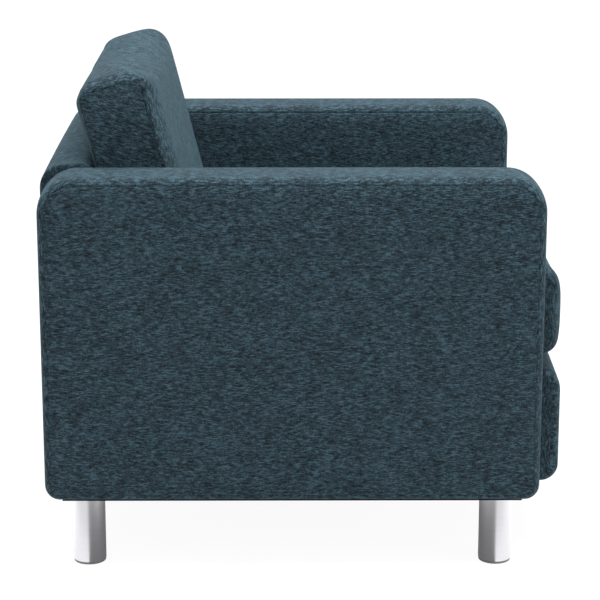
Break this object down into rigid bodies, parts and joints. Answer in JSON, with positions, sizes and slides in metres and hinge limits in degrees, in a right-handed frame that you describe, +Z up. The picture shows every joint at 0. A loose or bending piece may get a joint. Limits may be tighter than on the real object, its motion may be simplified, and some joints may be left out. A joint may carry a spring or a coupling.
{
  "type": "upholstered armchair",
  "caption": "Compact cube-shaped upholstered armchair with slab arms, a loose seat cushion, a leaning loose back cushion and round tube legs.",
  "frame": {"origin": "on the floor, under the middle of the whole chair's bounding box", "axes": "+Z up, -Y the way the chair faces, +X along its width, to the right of someone looking along +Y at its front"},
  "size_m": [0.728, 0.81, 0.7653],
  "materials": {
    "chenille": "heathered dark teal chenille upholstery over foam",
    "timber": "planed softwood and plywood, unfinished",
    "foam": "polyurethane foam block",
    "cambric": "black non-woven cambric",
    "chrome": "satin chrome plated steel tube",
    "steel": "zinc plated",
    "nylon": "moulded nylon",
    "webbing": "woven elastic webbing"
  },
  "bodies": {
    "chair": {"arm_base_left": "timber", "arm_base_right": "timber", "arm_bolt_front_left": "steel", "arm_bolt_front_right": "steel", "arm_bolt_rear_left": "steel", "arm_bolt_rear_right": "steel", "arm_cover_left": "chenille", "arm_cover_right": "chenille", "arm_front_post_left": "timber", "arm_front_post_right": "timber", "arm_rear_post_left": "timber", "arm_rear_post_right": "timber", "arm_top_rail_left": "timber", "arm_top_rail_right": "timber", "back_bottom_rail": "timber", "back_cover": "chenille", "back_lumbar_rail": "timber", "back_post_left": "timber", "back_post_right": "timber", "back_strap_1": "webbing", "back_strap_2": "webbing", "back_strap_3": "webbing", "back_top_rail": "timber", "corner_block_front_left": "timber", "corner_block_front_right": "timber", "corner_block_rear_left": "timber", "corner_block_rear_right": "timber", "deck_pad": "cambric", "dust_cover": "cambric", "front_rail_cover": "chenille", "leg_front_left": "chrome", "leg_front_right": "chrome", "leg_glide_front_left": "nylon", "leg_glide_front_right": "nylon", "leg_glide_rear_left": "nylon", "leg_glide_rear_right": "nylon", "leg_plate_front_left": "steel", "leg_plate_front_right": "steel", "leg_plate_rear_left": "steel", "leg_plate_rear_right": "steel", "leg_rear_left": "chrome", "leg_rear_right": "chrome", "seat_rail_front": "timber", "seat_rail_left": "timber", "seat_rail_rear": "timber", "seat_rail_right": "timber", "seat_spring_1": "steel", "seat_spring_2": "steel", "seat_spring_3": "steel", "seat_spring_4": "steel"},
    "seat_cushion": {"seat_cushion_core": "foam", "seat_cushion_cover": "chenille", "seat_cushion_zip": "nylon"},
    "back_cushion": {"back_cushion_core": "foam", "back_cushion_cover": "chenille", "back_cushion_zip": "nylon"}
  },
  "joints": [
    {"name": "seat_cushion_lift", "type": "slide", "parent": "chair", "child": "seat_cushion", "axis": [0, 0, 1], "range_m": [0, 0.47]},
    {"name": "back_cushion_lift", "type": "slide", "parent": "chair", "child": "back_cushion", "axis": [0, 0.247, 0.969], "range_m": [0, 0.5]}
  ]
}
